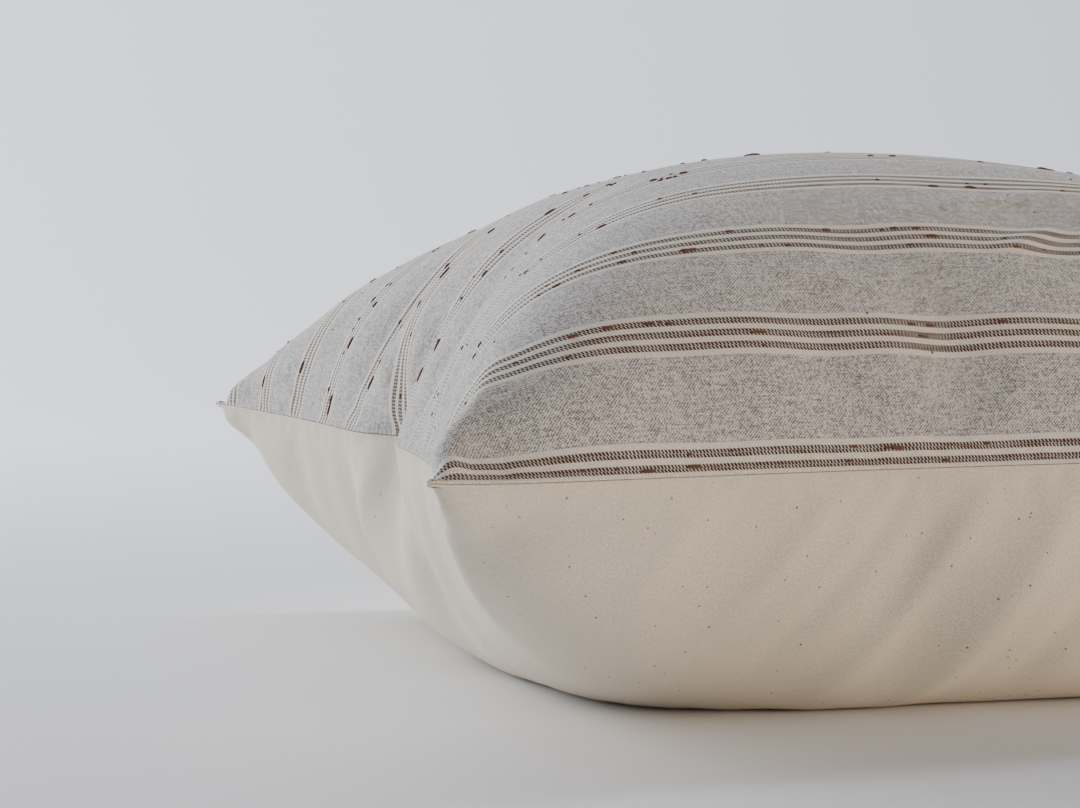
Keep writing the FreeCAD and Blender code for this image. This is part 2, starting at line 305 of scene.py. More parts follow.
def finer(grid, cells):
    """A smooth (Catmull-Rom) resampling of a grid of points."""
    for _ in range(2):
        old = len(grid) - 1
        place = np.linspace(0, old, cells + 1)
        cell = np.minimum(place.astype(int), old - 1)
        f = (place - cell)[:, None, None]
        before, after = 2 * grid[:1] - grid[1:2], 2 * grid[-1:] - grid[-2:-1]
        wide = np.concatenate([before, grid, after])
        a, b, c, d = (wide[cell + i] for i in range(4))
        grid = b + 0.5 * f * (c - a + f * (2 * a - 5 * b + 4 * c - d + f * (3 * (b - c) + d - a)))
        grid = grid.transpose(1, 0, 2)
    return grid


def normals(grid):
    """Unit normals of a grid of points, up for the front's order of rows."""
    along = np.gradient(grid, axis=0)
    across = np.gradient(grid, axis=1)
    n = np.cross(along, across)
    return n / np.linalg.norm(n, axis=-1, keepdims=True)


FINE = 254                # fine cells along a side, 2 mm of cloth each
front_grid, back_grid = settled_in_use(*stuffed_cover(CELLS))
front_grid, back_grid = finer(front_grid, FINE), finer(back_grid, FINE)
cloth_s, cloth_t = square_grid(FINE)
flat_x, flat_y = cloth_s * HALF_CUT, cloth_t * HALF_CUT

# ---------------------------------------------------------------- the two cover panels
# Each panel is one square of cloth, 1 mm thick. Where it meets the other, its edge rolls
# in over the seam, which leaves a fine crease between the two lips all round.
CLOTH_THICK = 0.001
border = [(i, 0) for i in range(FINE)] + [(FINE, i) for i in range(FINE)]
border += [(i, FINE) for i in range(FINE, 0, -1)] + [(0, i) for i in range(FINE, 0, -1)]
border = np.array(border)


def border_inward(grid):
    """Level unit directions from the seam line into the pillow, one for each border point."""
    line = grid[border[:, 0], border[:, 1], :2]
    run = np.roll(line, -1, 0) - np.roll(line, 1, 0)
    run /= np.linalg.norm(run, axis=1, keepdims=True)
    return np.stack([-run[:, 1], run[:, 0], 0 * run[:, 0]], 1)


WAVES = 14


def wave(x, y, seed, length):
    """A smooth random height from -1 to 1, with features about this long, in metres."""
    draw = np.random.default_rng(seed)
    total = 0 * x
    for _ in range(WAVES):
        turn, phase, stretch = draw.uniform(0, 2 * np.pi, 3)
        k = 2 * np.pi / (length * (0.7 + 0.1 * stretch))
        total = total + np.sin(k * (x * np.cos(turn) + y * np.sin(turn)) + phase)
    return total / WAVES**0.5


def fold(x, y, start, end, width):
    """A straight soft fold between two places, from 0 to 1 high, in any one unit."""
    start, end = np.array(start), np.array(end)
    run = end - start
    length = np.hypot(*run)
    run = run / length
    along = (x - start[0]) * run[0] + (y - start[1]) * run[1]
    off = (y - start[1]) * run[0] - (x - start[0]) * run[1]
    f = np.clip(along / length, -0.3, 1.3)
    return np.exp(-((off / width) ** 2)) * np.exp(-(((f - 0.5) / 0.42) ** 4))


edge_distance = (1 - np.maximum(abs(cloth_s), abs(cloth_t))) * HALF_CUT
# Small puckers beside the stitching, 11 mm apart and a third of a millimetre high.
pucker = wave(flat_x, flat_y, 3, 0.011) * np.exp(-edge_distance / 0.009) * 0.00035
pucker *= np.clip(edge_distance / 0.003, 0, 1)


def panel(name, grid, way, cloth, seam_gap):
    """A closed panel: its face, its rolled lip and its lining side. way is 1 for the front."""
    n = normals(grid) * way
    inner = grid - n * CLOTH_THICK
    line = grid[border[:, 0], border[:, 1]].copy()
    inward = border_inward(grid)
    up = np.array([0, 0, way * 0.001])

    def ring(depth, height):
        """The seam line, moved this far in and this high, in millimetres."""
        return line + inward * (depth * 0.001) + up * (height + seam_gap)[:, None]

    face = grid.copy()
    face[border[:, 0], border[:, 1]] = ring(0.0, 0.75)
    inner[border[:, 0], border[:, 1]] = ring(1.3, 1.3)
    rings = [ring(-0.12, 0.42), ring(0.1, 0.12), ring(0.5, 0.0), ring(1.6, 0.0), ring(1.6, 0.9)]
    side = FINE + 1
    count = side * side
    points = np.concatenate([face.reshape(-1, 3), inner.reshape(-1, 3)] + rings)
    face_index = np.arange(count).reshape(side, side)
    loops = [face_index[border[:, 0], border[:, 1]]]
    loops += [2 * count + i * len(border) + np.arange(len(border)) for i in range(len(rings))]
    loops += [count + face_index[border[:, 0], border[:, 1]]]
    faces = [quads(face_index), quads(face_index + count)[:, ::-1]]
    for a, b in zip(loops, loops[1:]):
        faces.append(np.stack([a, b, np.roll(b, -1), np.roll(a, -1)], 1))
    faces = np.concatenate(faces)
    if way < 0:
        faces = faces[:, ::-1]
    piece = mesh_object(name, points, faces, cloth)
    flat = np.stack([cloth_s.ravel(), cloth_t.ravel()], 1) * 0.5 + 0.5
    lip = flat.reshape(side, side, 2)[border[:, 0], border[:, 1]]
    flat = np.concatenate([flat, flat] + [lip] * len(rings))
    places = piece.data.uv_layers.new(name="cut")
    corner = np.zeros(len(piece.data.loops), int)
    piece.data.loops.foreach_get("vertex_index", corner)
    places.data.foreach_set("uv", flat[corner].ravel())
    return piece


# Striped cloth: a hand-loomed cotton weave. Taupe and white yarns cross in the plain bands,
# and thick brown floats between ivory cords make the stripes, so the stripes stand proud.
CUT = 508.0               # millimetres, as all lengths in the cloths' patterns
PERIOD = CUT / 11.52      # from one stripe group to the next
FIRST_GROUP = 0.06 * PERIOD - CUT / 2
ROW = 4.65                # from one brown row of a group to the next
FLOAT_PITCH = 1.35        # from one dash of a course to the next
YARN = 1.15               # two yarns of the plain weave, as coarse as they must be to show
striped, tree = material("handloom_striped_cotton")
uv = add(tree, "UVMap", uv_map="cut")
place = add(tree, "VectorMath", uv, (CUT, CUT, 0), (-CUT / 2, -CUT / 2, 0),
            operation="MULTIPLY_ADD")
x = add(tree, "SeparateXYZ", place)
y = add(tree, "SeparateXYZ", place, output=1)
from_first = add(tree, "Math", y, FIRST_GROUP, operation="SUBTRACT")
from_group = add(tree, "Math", from_first, PERIOD / 2, -PERIOD / 2, operation="WRAP")
from_row = add(tree, "Math", from_group, ROW / 2, -ROW / 2, operation="WRAP")
off_group = add(tree, "Math", from_group, operation="ABSOLUTE")
off_row = add(tree, "Math", from_row, operation="ABSOLUTE")
in_group = add(tree, "MapRange", off_group, 8.2, 7.9, interpolation_type="SMOOTHSTEP")
in_rows = add(tree, "MapRange", off_group, 6.2, 5.9, interpolation_type="SMOOTHSTEP")
in_row = add(tree, "MapRange", off_row, 1.45, 1.2, interpolation_type="SMOOTHSTEP")
brown_row = add(tree, "Math", in_row, in_rows, operation="MULTIPLY")

# Uneven yarn: thick and thin places, long along the yarns of each way, and a slight wander.
wander = add(tree, "TexNoise", inputs={"Vector": place, "Scale": 0.6, "Detail": 2.0})
speck = add(tree, "TexNoise", inputs={"Vector": place, "Scale": 1.6, "Detail": 1.0})
patch = add(tree, "TexNoise", inputs={"Vector": place, "Scale": 0.12, "Detail": 2.0})
float_place = add(tree, "VectorMath", place, (0.09, 0.7, 1), operation="MULTIPLY")
float_yarn = add(tree, "TexNoise", inputs={"Vector": float_place, "Scale": 1.0, "Detail": 2.0})
weft_place = add(tree, "VectorMath", place, (0.08, 1.5, 1), operation="MULTIPLY")
weft_yarn = add(tree, "TexNoise", inputs={"Vector": weft_place, "Scale": 1.0, "Detail": 2.0})
warp_place = add(tree, "VectorMath", place, (1.5, 0.1, 1), operation="MULTIPLY")
warp_yarn = add(tree, "TexNoise", inputs={"Vector": warp_place, "Scale": 1.0, "Detail": 2.0})

# Floats: each brown row is two courses of slanting dashes, half a pitch apart.
course = add(tree, "Math", from_row, operation="GREATER_THAN", inputs={1: 0.0})
slanted = add(tree, "Math", from_row, 0.45, x, operation="MULTIPLY_ADD")
along = add(tree, "Math", wander, 0.5, slanted, operation="MULTIPLY_ADD")
along = add(tree, "Math", along, 1 / FLOAT_PITCH, operation="MULTIPLY")
along = add(tree, "Math", course, 0.5, along, operation="MULTIPLY_ADD")
dash_wave = add(tree, "Math", along, 0.5, operation="PINGPONG")
plump = add(tree, "MapRange", float_yarn, 0.35, 0.75, 0.0, 0.14, interpolation_type="SMOOTHSTEP")
dash = add(tree, "Math", dash_wave, plump, operation="ADD")
dash = add(tree, "MapRange", dash, 0.18, 0.3, interpolation_type="SMOOTHSTEP")
dash = add(tree, "Math", dash, brown_row, 0.02, operation="SMOOTH_MIN")
off_course = add(tree, "Math", off_row, 0.65, operation="SUBTRACT")
off_course = add(tree, "Math", off_course, operation="ABSOLUTE")
tuck = add(tree, "MapRange", off_course, 0.75, 0.5, 0.35, 1.0, interpolation_type="SMOOTHSTEP")
dash = add(tree, "Math", dash, tuck, operation="MULTIPLY")

# Plain band: warp over weft in checks, each crossing a little lighter or darker.
warp = add(tree, "Math", wander, 0.5, x, operation="MULTIPLY_ADD")
warp = add(tree, "Math", warp, 2 * math.pi / YARN, operation="MULTIPLY")
warp = add(tree, "Math", warp, operation="SINE")
weft = add(tree, "Math", wander, 0.4, y, operation="MULTIPLY_ADD")
weft = add(tree, "Math", weft, 2 * math.pi / YARN, operation="MULTIPLY")
weft = add(tree, "Math", weft, operation="SINE")
check = add(tree, "Math", warp, weft, operation="MULTIPLY")
check = add(tree, "Math", check, 0.5, 0.5, operation="MULTIPLY_ADD")
shift = add(tree, "Math", wander, 0.9, operation="MULTIPLY")
crossing = add(tree, "VectorMath", place, add(tree, "CombineXYZ", shift), operation="ADD")
crossing = add(tree, "VectorMath", crossing, (YARN / 2, YARN / 2, 1), operation="SNAP")
pick = add(tree, "TexWhiteNoise", crossing, noise_dimensions="3D")
light = add(tree, "Math", check, 0.55, -0.5, operation="MULTIPLY_ADD")
for part, weight in ((pick, 0.38), (weft_yarn, 0.52), (warp_yarn, 0.35), (patch, 0.12)):
    light = add(tree, "Math", part, weight, light, operation="MULTIPLY_ADD")
light = add(tree, "MapRange", light, 0.1, 0.76, interpolation_type="SMOOTHSTEP")
cord = add(tree, "Math", check, 0.3, speck, operation="MULTIPLY_ADD")
cord = add(tree, "MapRange", cord, 0.4, 0.85, interpolation_type="SMOOTHSTEP")
umber = add(tree, "MapRange", float_yarn, 0.5, 0.68, interpolation_type="SMOOTHSTEP")
plain_band = add(tree, "Mix", light, output=2, data_type="RGBA",
                 inputs={6: linear("#6d645e"), 7: linear("#e4e2de")})
ivory = add(tree, "Mix", cord, output=2, data_type="RGBA",
            inputs={6: linear("#d2cabb"), 7: linear("#f0eadf")})
brown = add(tree, "Mix", umber, output=2, data_type="RGBA",
            inputs={6: linear("#43342c"), 7: linear("#58301f")})
row_ground = add(tree, "Mix", brown_row, output=2, data_type="RGBA",
                 inputs={6: ivory, 7: linear("#cfc8bd")})
stripe = add(tree, "Mix", dash, output=2, data_type="RGBA", inputs={6: row_ground, 7: brown})
colour = add(tree, "Mix", in_group, output=2, data_type="RGBA", inputs={6: plain_band, 7: stripe})
relief = add(tree, "Math", check, 0.35, operation="MULTIPLY")
for part, weight in ((in_group, 0.5), (dash, 0.5), (speck, 0.3)):
    relief = add(tree, "Math", part, weight, relief, operation="MULTIPLY_ADD")
surface = add(tree, "BsdfPrincipled", inputs={
    "Base Color": colour, "Roughness": 0.88, "Specular IOR Level": 0.25, "IOR": 1.5,
    "Sheen Weight": 0.08, "Sheen Roughness": 0.5,
    "Normal": add(tree, "Bump", inputs={"Strength": 0.8, "Distance": 0.0004, "Height": relief}),
})
add(tree, "OutputMaterial", inputs={"Surface": surface})

# Canvas: unbleached cotton duck, woven tight and plain, so it is matt and even, with
# flecks of seed husk left in the yarn.
WARP_PAIR, WEFT_PAIR = 0.9, 0.8     # two yarns each way
HUSKS = 0.2               # places for a fleck in a millimetre, each way
canvas, tree = material("unbleached_cotton_canvas")
uv = add(tree, "UVMap", uv_map="cut")
place = add(tree, "VectorMath", uv, (CUT, CUT, 0), (-CUT / 2, -CUT / 2, 0),
            operation="MULTIPLY_ADD")
turns = add(tree, "VectorMath", place, (2 * math.pi / WARP_PAIR, 2 * math.pi / WEFT_PAIR, 0),
            operation="MULTIPLY")
turns = add(tree, "VectorMath", turns, operation="SINE")
warp = add(tree, "SeparateXYZ", turns)
weft = add(tree, "SeparateXYZ", turns, output=1)
duck = add(tree, "Math", warp, weft, operation="MULTIPLY")
mottle = add(tree, "TexNoise", inputs={"Vector": place, "Scale": 0.9, "Detail": 3.0})
tone = add(tree, "Math", duck, 0.12, mottle, operation="MULTIPLY_ADD")
tone = add(tree, "MapRange", tone, 0.3, 0.7, interpolation_type="SMOOTHSTEP")
husk = add(tree, "TexVoronoi", inputs={"Vector": place, "Scale": HUSKS, "Randomness": 1.0})
husk = add(tree, "MapRange", husk, 0.105, 0.06, 0.0, 0.85, interpolation_type="SMOOTHSTEP")
lot = add(tree, "TexVoronoi", output=1,
          inputs={"Vector": place, "Scale": HUSKS, "Randomness": 1.0})
lot = add(tree, "Math", add(tree, "SeparateColor", lot), 0.35, operation="GREATER_THAN")
husk = add(tree, "Math", husk, lot, operation="MULTIPLY")
colour = add(tree, "Mix", tone, output=2, data_type="RGBA",
             inputs={6: linear("#dfd4c1"), 7: linear("#ece2d0")})
colour = add(tree, "Mix", husk, output=2, data_type="RGBA",
             inputs={6: colour, 7: linear("#70503a")})
relief = add(tree, "Math", duck, 0.5, operation="MULTIPLY")
relief = add(tree, "Math", mottle, 0.6, relief, operation="MULTIPLY_ADD")
surface = add(tree, "BsdfPrincipled", inputs={
    "Base Color": colour, "Roughness": 0.85, "Specular IOR Level": 0.25, "IOR": 1.5,
    "Sheen Weight": 0.1, "Sheen Roughness": 0.5,
    "Normal": add(tree, "Bump", inputs={"Strength": 0.5, "Distance": 0.0002, "Height": relief}),
})
add(tree, "OutputMaterial", inputs={"Surface": surface})

# The two lips stand 1.6 mm apart along the zipper and touch everywhere else.
ZIP_END = 0.165
LIP_ENDS = 0.008
seam_x = front_grid[border[:, 0], border[:, 1], 0]
on_zip_side = border[:, 1] == FINE
open_share = np.clip((ZIP_END + LIP_ENDS / 2 - abs(seam_x)) / LIP_ENDS, 0, 1)
seam_gap = 0.06 + 0.74 * on_zip_side * open_share

# Soft folds in the canvas run down and to the left from the front seam. Each has its start
# and end on the flat cut, its width and its height, in millimetres.
CANVAS_FOLDS = [
    ((-38, -252), (-92, -165), 7.0, 1.5), ((-70, -252), (-118, -180), 5.5, -1.1),
    ((-6, -252), (-58, -158), 8.0, 1.6), ((-98, -252), (-138, -195), 6.0, 0.9),
    ((24, -252), (-26, -165), 7.0, -1.2), ((58, -252), (20, -170), 8.0, 1.3),
    ((-150, -250), (-172, -205), 6.0, 0.5), ((-246, -246), (-196, -160), 8.0, 1.3),
    ((-250, -236), (-222, -150), 6.0, -1.2), ((-252, 0), (-190, -40), 9.0, -1.5),
    ((-252, 20), (-205, 60), 8.0, 1.0),
]
STRIPE_FOLDS = [
    ((-22, -172), (14, -150), 5.0, 0.9), ((-30, -140), (22, -128), 5.0, 0.7),
    ((-60, -252), (-20, -225), 5.0, 0.5), ((-252, 2), (-205, -24), 7.0, -1.4),
    ((-252, 12), (-215, 40), 7.0, 0.8), ((-246, -246), (-205, -190), 6.0, 0.8),
]
# The right and the back side get folds at random, turned there from the front.
draw = np.random.default_rng(21)
for c, z in ((0, 1), (-1, 0)):
    for place_along in np.arange(-215, 216, 38):
        near, slant = place_along + draw.uniform(-12, 12), draw.uniform(-35, 35)
        ends = ((near, -252), (near + slant, -252 + draw.uniform(35, 85)))
        ends = tuple((c * a - z * b, z * a + c * b) for a, b in ends)
        CANVAS_FOLDS.append((*ends, draw.uniform(5, 9), draw.uniform(-1.2, 1.2)))
        STRIPE_FOLDS.append((*ends, draw.uniform(5, 8), draw.uniform(-0.5, 0.5)))
FOLD_DEPTH = 2.2          # all folds' heights are taken this many times


def folded(folds):
    """The height of a set of folds over the flat cut, in metres."""
    total = 0 * flat_x
    for start, end, width, height in folds:
        shape = fold(flat_x * 1000, flat_y * 1000, start, end, width)
        total = total + FOLD_DEPTH * height * shape
    return total * 0.001 * np.clip(edge_distance / 0.006, 0, 1)


front_face = front_grid + normals(front_grid) * (pucker + folded(STRIPE_FOLDS))[..., None]
back_face = back_grid - normals(back_grid) * (pucker + folded(CANVAS_FOLDS))[..., None]
back_face[..., 2] = np.maximum(back_face[..., 2], 0.0002)
front_panel = panel("striped_front", front_face, 1, striped, seam_gap)
back_panel = panel("canvas_back", back_face, -1, canvas, seam_gap)
for piece, node, slot in (
    (front_panel, "front_panel", "striped_cloth"), (back_panel, "back_panel", "canvas"),
):
    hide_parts(node)
    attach(piece, "pillow")


def on_cloth(grid, x, y):
    """Points of a fine grid at flat places, given in metres from the middle of the cut."""
    u, v = ((np.asarray(a) / HALF_CUT + 1) / 2 * FINE for a in np.broadcast_arrays(x, y))
    i, j = (np.clip(a.astype(int), 0, FINE - 1) for a in (u, v))
    f, g = (u - i)[..., None], (v - j)[..., None]
    near = grid[i, j] * (1 - f) + grid[i + 1, j] * f
    far = grid[i, j + 1] * (1 - f) + grid[i + 1, j + 1] * f
    return near * (1 - g) + far * g


front_up, back_up = normals(front_face), normals(back_face)

# ---------------------------------------------------------------- slubs
# Soft lumps where the brown yarn was spun thick. They lie in the brown rows and stand up to
# half a millimetre proud of the cloth; a few stray ones sit in the plain bands.
slub_cotton, tree = material("slub_cotton_yarn")
place = add(tree, "TexCoord", output=3)
twist = add(tree, "TexNoise", inputs={"Vector": place, "Scale": 2500.0, "Detail": 3.0})
share = add(tree, "MapRange", twist, 0.35, 0.7, interpolation_type="SMOOTHSTEP")
colour = add(tree, "Mix", share, output=2, data_type="RGBA",
             inputs={6: linear("#553428"), 7: linear("#815244")})
surface = add(tree, "BsdfPrincipled", inputs={
    "Base Color": colour, "Roughness": 0.92, "Specular IOR Level": 0.2, "IOR": 1.5,
    "Sheen Weight": 0.3, "Sheen Roughness": 0.5,
    "Normal": add(tree, "Bump", inputs={"Strength": 0.6, "Distance": 0.0002, "Height": twist}),
})
add(tree, "OutputMaterial", inputs={"Surface": surface})

draw = np.random.default_rng(7)
spots = []
for group in range(12):
    for row in (-1, 0, 1):
        row_y = FIRST_GROUP + group * PERIOD + row * ROW
        for _ in range(draw.integers(9, 17)):
            long = draw.choice([1.6, 2.3, 3.4, 5.2], p=[0.4, 0.3, 0.2, 0.1])
            long *= draw.uniform(0.8, 1.2)
            spots.append((draw.uniform(-248, 248), row_y + draw.uniform(-0.7, 0.7), long))
for _ in range(60):
    spots.append((*draw.uniform(-245, 245, 2), draw.uniform(0.6, 1.1)))
spots = np.array([spot for spot in spots if abs(spot[1]) < 252])
count = len(spots)
middle = on_cloth(front_face, spots[:, 0] / 1000, spots[:, 1] / 1000)
ahead = on_cloth(front_face, spots[:, 0] / 1000 + 0.001, spots[:, 1] / 1000) - middle
ahead /= np.linalg.norm(ahead, axis=1, keepdims=True)
up = on_cloth(front_up, spots[:, 0] / 1000, spots[:, 1] / 1000)
aside = np.cross(up, ahead)
RINGS, SIDES = 5, 8
ring_angle = np.pi * (np.arange(RINGS) + 1) / (RINGS + 1)
side_angle = 2 * np.pi * np.arange(SIDES) / SIDES
slub_points, slub_faces = [], []
for i in range(count):
    half_long = spots[i, 2] * 0.0005
    half_wide = min(0.00068, 0.00034 + spots[i, 2] * 0.00007) * draw.uniform(0.85, 1.15)
    lump = draw.uniform(0.75, 1.2, (RINGS, SIDES))
    local = [(half_long, 0, 0)]
    for r, angle in enumerate(ring_angle):
        for k, turn in enumerate(side_angle):
            radius = half_wide * math.sin(angle) ** 0.7 * lump[r, k]
            across, height = radius * math.cos(turn), radius * 0.8 * math.sin(turn)
            local.append((half_long * math.cos(angle), across, height))
    local.append((-half_long, 0, 0))
    local = np.array(local)
    base = i * (RINGS * SIDES + 2)
    slub_points.append(
        middle[i] + up[i] * half_wide * 0.25
        + local[:, :1] * ahead[i] + local[:, 1:2] * aside[i] + local[:, 2:] * up[i]
    )
    last = RINGS * SIDES + 1
    for k in range(SIDES):
        n = (k + 1) % SIDES
        slub_faces.append((base, base + 1 + k, base + 1 + n))
        for r in range(RINGS - 1):
            a, b = base + 1 + r * SIDES, base + 1 + (r + 1) * SIDES
            slub_faces.append((a + k, b + k, b + n, a + n))
        end = base + 1 + (RINGS - 1) * SIDES
        slub_faces.append((end + k, base + last, end + n))
mesh = bpy.data.meshes.new("slubs")
mesh.from_pydata(np.concatenate(slub_points).tolist(), [], slub_faces)
mesh.polygons.foreach_set("use_smooth", [True] * len(mesh.polygons))
mesh.materials.append(slub_cotton)
mesh.update()
slubs = bpy.data.objects.new("slubs", mesh)
bpy.context.scene.collection.objects.link(slubs)
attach(slubs, "pillow")


# ---------------------------------------------------------------- seam allowances and threads
# Inside, the two panels' raw edges lie together against the canvas, lockstitched along the
# seam and overlocked at the edge, on the three sewn sides.
def cotton_material(name, dark, light, pitch, roughness=0.85, sheen=0.2):
    """A plain cotton or polyester textile, with yarns this many metres apart."""
    made, tree = material(name)
    place = add(tree, "TexCoord", output=3)
    twist = add(tree, "TexNoise", inputs={"Vector": place, "Scale": 1 / pitch, "Detail": 3.0})
    broad = add(tree, "TexNoise", inputs={"Vector": place, "Scale": 0.04 / pitch})
    share = add(tree, "Math", twist, 0.7, operation="MULTIPLY")
    share = add(tree, "Math", broad, 0.4, share, operation="MULTIPLY_ADD")
    share = add(tree, "MapRange", share, 0.4, 0.7, interpolation_type="SMOOTHSTEP")
    colour = add(tree, "Mix", share, output=2, data_type="RGBA",
                 inputs={6: linear(dark), 7: linear(light)})
    surface = add(tree, "BsdfPrincipled", inputs={
        "Base Color": colour, "Roughness": roughness, "Specular IOR Level": 0.25, "IOR": 1.5,
        "Sheen Weight": sheen, "Sheen Roughness": 0.5,
        "Normal": add(tree, "Bump", inputs={
            "Strength": 0.5, "Distance": pitch * 0.3, "Height": twist}),
    })
    add(tree, "OutputMaterial", inputs={"Surface": surface})
    return made


def shell(name, outer, inner, way, cloth):
    """A closed piece between two grids of points with the same border order."""
    rows, columns = outer.shape[:2]
    index = np.arange(rows * columns).reshape(rows, columns)
    loop = np.concatenate([index[:-1, 0], index[-1, :-1], index[:0:-1, -1], index[0, :0:-1]])
    far = loop + rows * columns
    rim = np.stack([loop, far, np.roll(far, -1), np.roll(loop, -1)], 1)
    faces = np.concatenate([quads(index), quads(index + rows * columns)[:, ::-1], rim])
    points = np.concatenate([outer.reshape(-1, 3), inner.reshape(-1, 3)])
    return mesh_object(name, points, faces if way > 0 else faces[:, ::-1], cloth)


def thread(name, lines, radius, cotton, closed=False):
    """Round threads along lines of points, as one closed mesh each."""
    data = bpy.data.curves.new(name, "CURVE")
    data.dimensions = "3D"
    data.bevel_depth = radius
    data.bevel_resolution = 1
    data.use_fill_caps = True
    for line in lines:
        spline = data.splines.new("POLY")
        spline.points.add(len(line) - 1)
        spline.points.foreach_set("co", np.c_[line, np.ones(len(line))].ravel())
        spline.use_cyclic_u = closed
    curve = bpy.data.objects.new(name + "_line", data)
    bpy.context.scene.collection.objects.link(curve)
    mesh = bpy.data.meshes.new_from_object(curve)
    bpy.data.objects.remove(curve)
    mesh.name = name
    mesh.materials.clear()
    mesh.materials.append(cotton)
    piece = bpy.data.objects.new(name, mesh)
    bpy.context.scene.collection.objects.link(piece)
    return piece


SIDE_TURNS = {"front": 0, "right": 1, "back": 2, "left": 3}


def beside_seam(grid, up, way, side, along, from_seam, depth):
    """Points under a panel: along a side, this far in from its seam and this deep, in metres."""
    along, from_seam, depth = np.broadcast_arrays(along, from_seam, depth)
    x, y = along, from_seam - HALF_CUT
    for _ in range(SIDE_TURNS[side]):
        x, y = -y, x
    return on_cloth(grid, x, y) - way * depth[..., None] * on_cloth(up, x, y)


def fixed(piece, slot, *replaced, body="pillow"):
    """Hides the parts a piece stands for and hangs it on the body it rides on. slot, the finish
    it takes, is not used.
    """
    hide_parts(*replaced)
    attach(piece, body)
    return piece


sewing_cotton = cotton_material("spun_cotton_thread", "#cfc4b0", "#e9e0d0", 0.0002)
ALLOWANCE_END = 0.205
ALLOWANCE = 0.0125
STITCH_STEP = 0.00125     # half a stitch
THREAD_R = 0.00018
# One overlock stitch round the raw edge: distance from the seam, and depth.
OVERLOCK_LOOP = np.array([
    (0.0090, 0.0035), (0.0128, 0.0034), (0.0131, 0.0022), (0.0128, 0.0010)])
run, out = np.meshgrid(np.linspace(-ALLOWANCE_END, ALLOWANCE_END, 140),
                       np.linspace(0.0022, ALLOWANCE, 7), indexing="ij")
for side in ("left", "front", "right"):
    for name, depth, cloth, slot in (
        ("canvas_allowance_", 0.0012, canvas, "canvas"),
        ("striped_allowance_", 0.0023, striped, "striped_cloth"),
    ):
        outer = beside_seam(back_face, back_up, -1, side, run, out, depth)
        inner = beside_seam(back_face, back_up, -1, side, run, out, depth + 0.0009)
        piece = shell(name + side, outer, inner, -1, cloth)
        flat = np.stack([run.ravel() / 0.508 + 0.5, out.ravel() / 0.508], 1)
        uv = piece.data.uv_layers.new(name="cut")
        corner = np.zeros(len(piece.data.loops), int)
        piece.data.loops.foreach_get("vertex_index", corner)
        uv.data.foreach_set("uv", np.concatenate([flat, flat])[corner].ravel())
        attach(piece, "pillow")
    steps = np.arange(-ALLOWANCE_END, ALLOWANCE_END, STITCH_STEP)
    beat = np.arange(len(steps))
    line = beside_seam(back_face, back_up, -1, side, steps, 0.003 + 0 * steps,
                       0.0034 + 0.00012 * np.cos(beat * np.pi))
    fixed(thread(f"lockstitch_{side}", [line], THREAD_R, sewing_cotton),
          "sewing_thread", f"seam_thread_{side}")
    wrap = OVERLOCK_LOOP[beat % 4]
    line = beside_seam(back_face, back_up, -1, side, steps, wrap[:, 0], wrap[:, 1])
    fixed(thread(f"overlocking_{side}", [line], 0.0002, sewing_cotton),
          "sewing_thread", f"overlock_{side}")

# ---------------------------------------------------------------- concealed zipper
# A nylon coil zipper, sewn behind the back seam between the two folded lips. The coils mesh
# along the seam's arc, and the slider stands at the closed end with its pull outside.
# The tape is a matt ribbon, the coil has the sheen of nylon, and the enamelled metal has a
# soft highlight that tells it from the cloth.
tape_cloth = cotton_material("woven_polyester_tape", "#cbbfa8", "#e4dac8", 0.0005, 0.8)
coil_nylon = cotton_material("nylon_coil", "#d6ccb8", "#ece4d4", 0.0008, 0.4, 0.0)
zinc, tree = material("enamelled_zinc")
place = add(tree, "TexCoord", output=3)
dimple = add(tree, "TexNoise", inputs={"Vector": place, "Scale": 1200.0, "Detail": 2.0})
wear = add(tree, "TexNoise", inputs={"Vector": place, "Scale": 300.0, "Detail": 4.0})
share = add(tree, "MapRange", wear, 0.4, 0.7, interpolation_type="SMOOTHSTEP")
colour = add(tree, "Mix", share, output=2, data_type="RGBA",
             inputs={6: linear("#d8cdb8"), 7: linear("#c7bba4")})
surface = add(tree, "BsdfPrincipled", inputs={
    "Base Color": colour,
    "Roughness": 0.38, "IOR": 1.5, "Coat Weight": 0.3, "Coat Roughness": 0.2,
    "Normal": add(tree, "Bump", inputs={"Strength": 0.15, "Distance": 0.00005, "Height": dimple}),
})
add(tree, "OutputMaterial", inputs={"Surface": surface})
for node in ("zipper_slider", "zipper_pull", "zipper_top_stop", "zipper_bottom_stop"):
    for material_slot in nodes[node].material_slots:
        material_slot.link = "OBJECT"
        material_slot.material = zinc

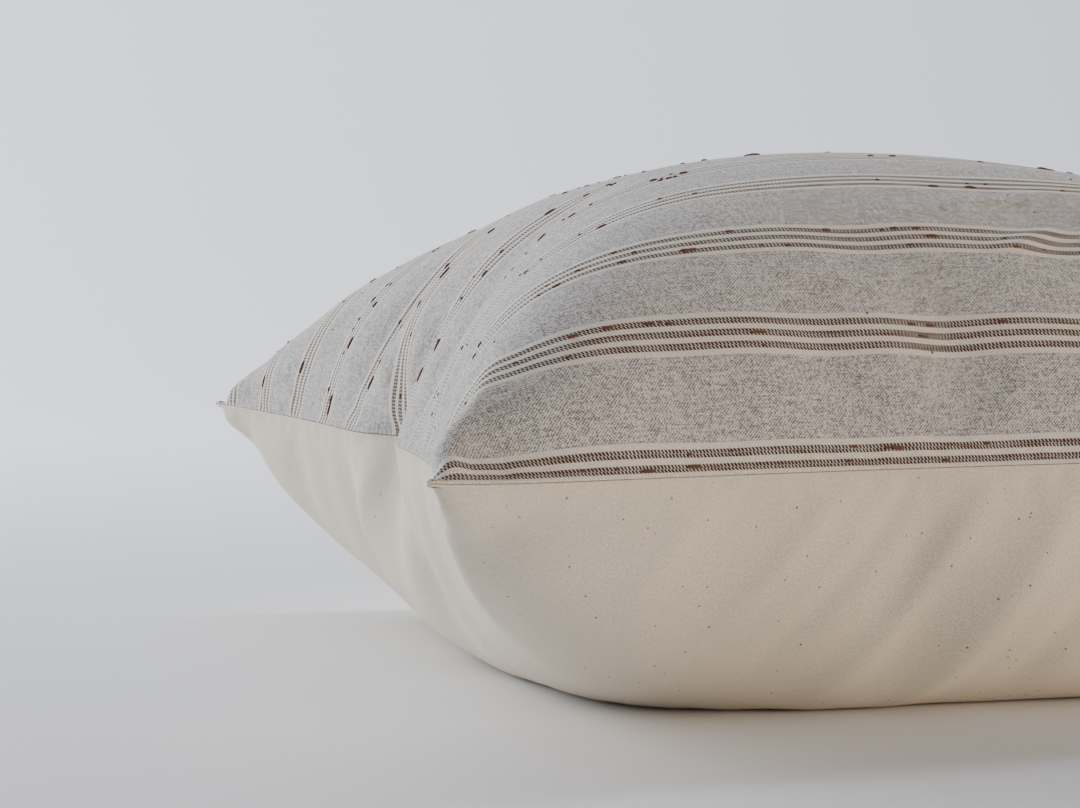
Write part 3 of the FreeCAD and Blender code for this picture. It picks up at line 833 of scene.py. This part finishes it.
COIL_DEPTH, COIL_Z, COIL_R, COIL_PITCH = 0.0039, 0.00155, 0.00078, 0.0016
TAPE_END, TAPE_START, TAPE_WIDTH = ZIP_END * 1.08, 0.0032, 0.0103
coil_end = ZIP_END - 0.004
for name, face, up, way in (
    ("front", front_face, front_up, 1), ("back", back_face, back_up, -1),
):
    turns = 2 * coil_end / COIL_PITCH
    phase = np.linspace(0, 2 * np.pi * turns, int(turns * 10))
    x = np.linspace(-coil_end, coil_end, len(phase)) + (COIL_PITCH / 4) * way
    radius = SEAM_R + COIL_DEPTH + COIL_R * np.cos(phase)
    y = SEAM_CENTRE - np.sqrt(radius**2 - x**2)
    z = SEAM_Z + way * COIL_Z + COIL_R * np.sin(phase)
    fixed(thread(f"coil_{name}", [np.stack([x, y, z], 1)], 0.0002, coil_nylon),
          "zipper_coil", f"zipper_coil_{name}")
    run, out = np.meshgrid(np.linspace(-TAPE_END, TAPE_END, 120),
                           np.linspace(TAPE_START, TAPE_START + TAPE_WIDTH, 6),
                           indexing="ij")
    outer = beside_seam(face, up, way, "back", run, out, 0.0012)
    inner = beside_seam(face, up, way, "back", run, out, 0.0017)
    tape = shell(f"tape_{name}", outer, inner, way, tape_cloth)
    fixed(tape, "zipper_tape", f"zipper_tape_{name}")
    steps = np.arange(-ZIP_END, ZIP_END, STITCH_STEP)
    wave_depth = 0.00192 + 0.0001 * np.cos(np.arange(len(steps)) * np.pi)
    line = beside_seam(face, up, way, "back", steps, 0.009 + 0 * steps, wave_depth)
    fixed(thread(f"tape_stitching_{name}", [line], THREAD_R, sewing_cotton),
          "sewing_thread", f"zipper_thread_{name}")

# ---------------------------------------------------------------- insert
# A ready-made pillow form: a white cotton casing, sewn shut all round, and filled with
# siliconised polyester fibre that presses it out against the cover.
def inside_cover(distance, seam_in, cells=72):
    """The front and the back of a closed form this far inside the cover, in metres."""
    s, t = square_grid(cells)
    shrink = HALF_CUT - seam_in
    x, y = s * shrink, t * shrink
    front = on_cloth(front_grid, x, y) - distance * on_cloth(front_up, x, y)
    back = on_cloth(back_grid, x, y) + distance * on_cloth(back_up, x, y)
    meet = (front + back) / 2
    w = (np.maximum(abs(s), abs(t)) ** 10)[..., None]
    return front * (1 - w) + meet * w, back * (1 - w) + meet * w


# Casing and fibre are white and soft, and show only where the zipper is open.
casing_cotton = cotton_material("white_downproof_cotton", "#e4e4e2", "#f4f4f2", 0.0004)
fibre = cotton_material("siliconised_polyester_fibre", "#ececec", "#fbfbfb", 0.003, 0.7, 0.5)
# Each form: how far it lies under the cover, and how far in its rim is from the seam.
outer_front, outer_back = inside_cover(0.0035, 0.020)
inner_front, inner_back = inside_cover(0.0040, 0.0205)
casing = ((outer_front, inner_front, 1, "front"), (outer_back, inner_back, -1, "back"))
for outer, inner, way, name in casing:
    piece = fixed(shell(f"casing_{name}", outer, inner, way, casing_cotton),
                  "insert_cloth", f"insert_case_{name}")
fill_front, fill_back = inside_cover(0.0044, 0.0215)
lift = np.array([0, 0, 0.0002])
fibre_fill = shell("fibre_fill", fill_front + lift, fill_back - lift, 1, fibre)
fixed(fibre_fill, "fibre_fill", "insert_fill")
rim = np.concatenate([
    outer_front[:-1, 0], outer_front[-1, :-1], outer_front[:0:-1, -1], outer_front[0, :0:-1]])
fixed(thread("insert_stitching", [rim], 0.0003, sewing_cotton, closed=True),
      "sewing_thread", "insert_seam_thread")
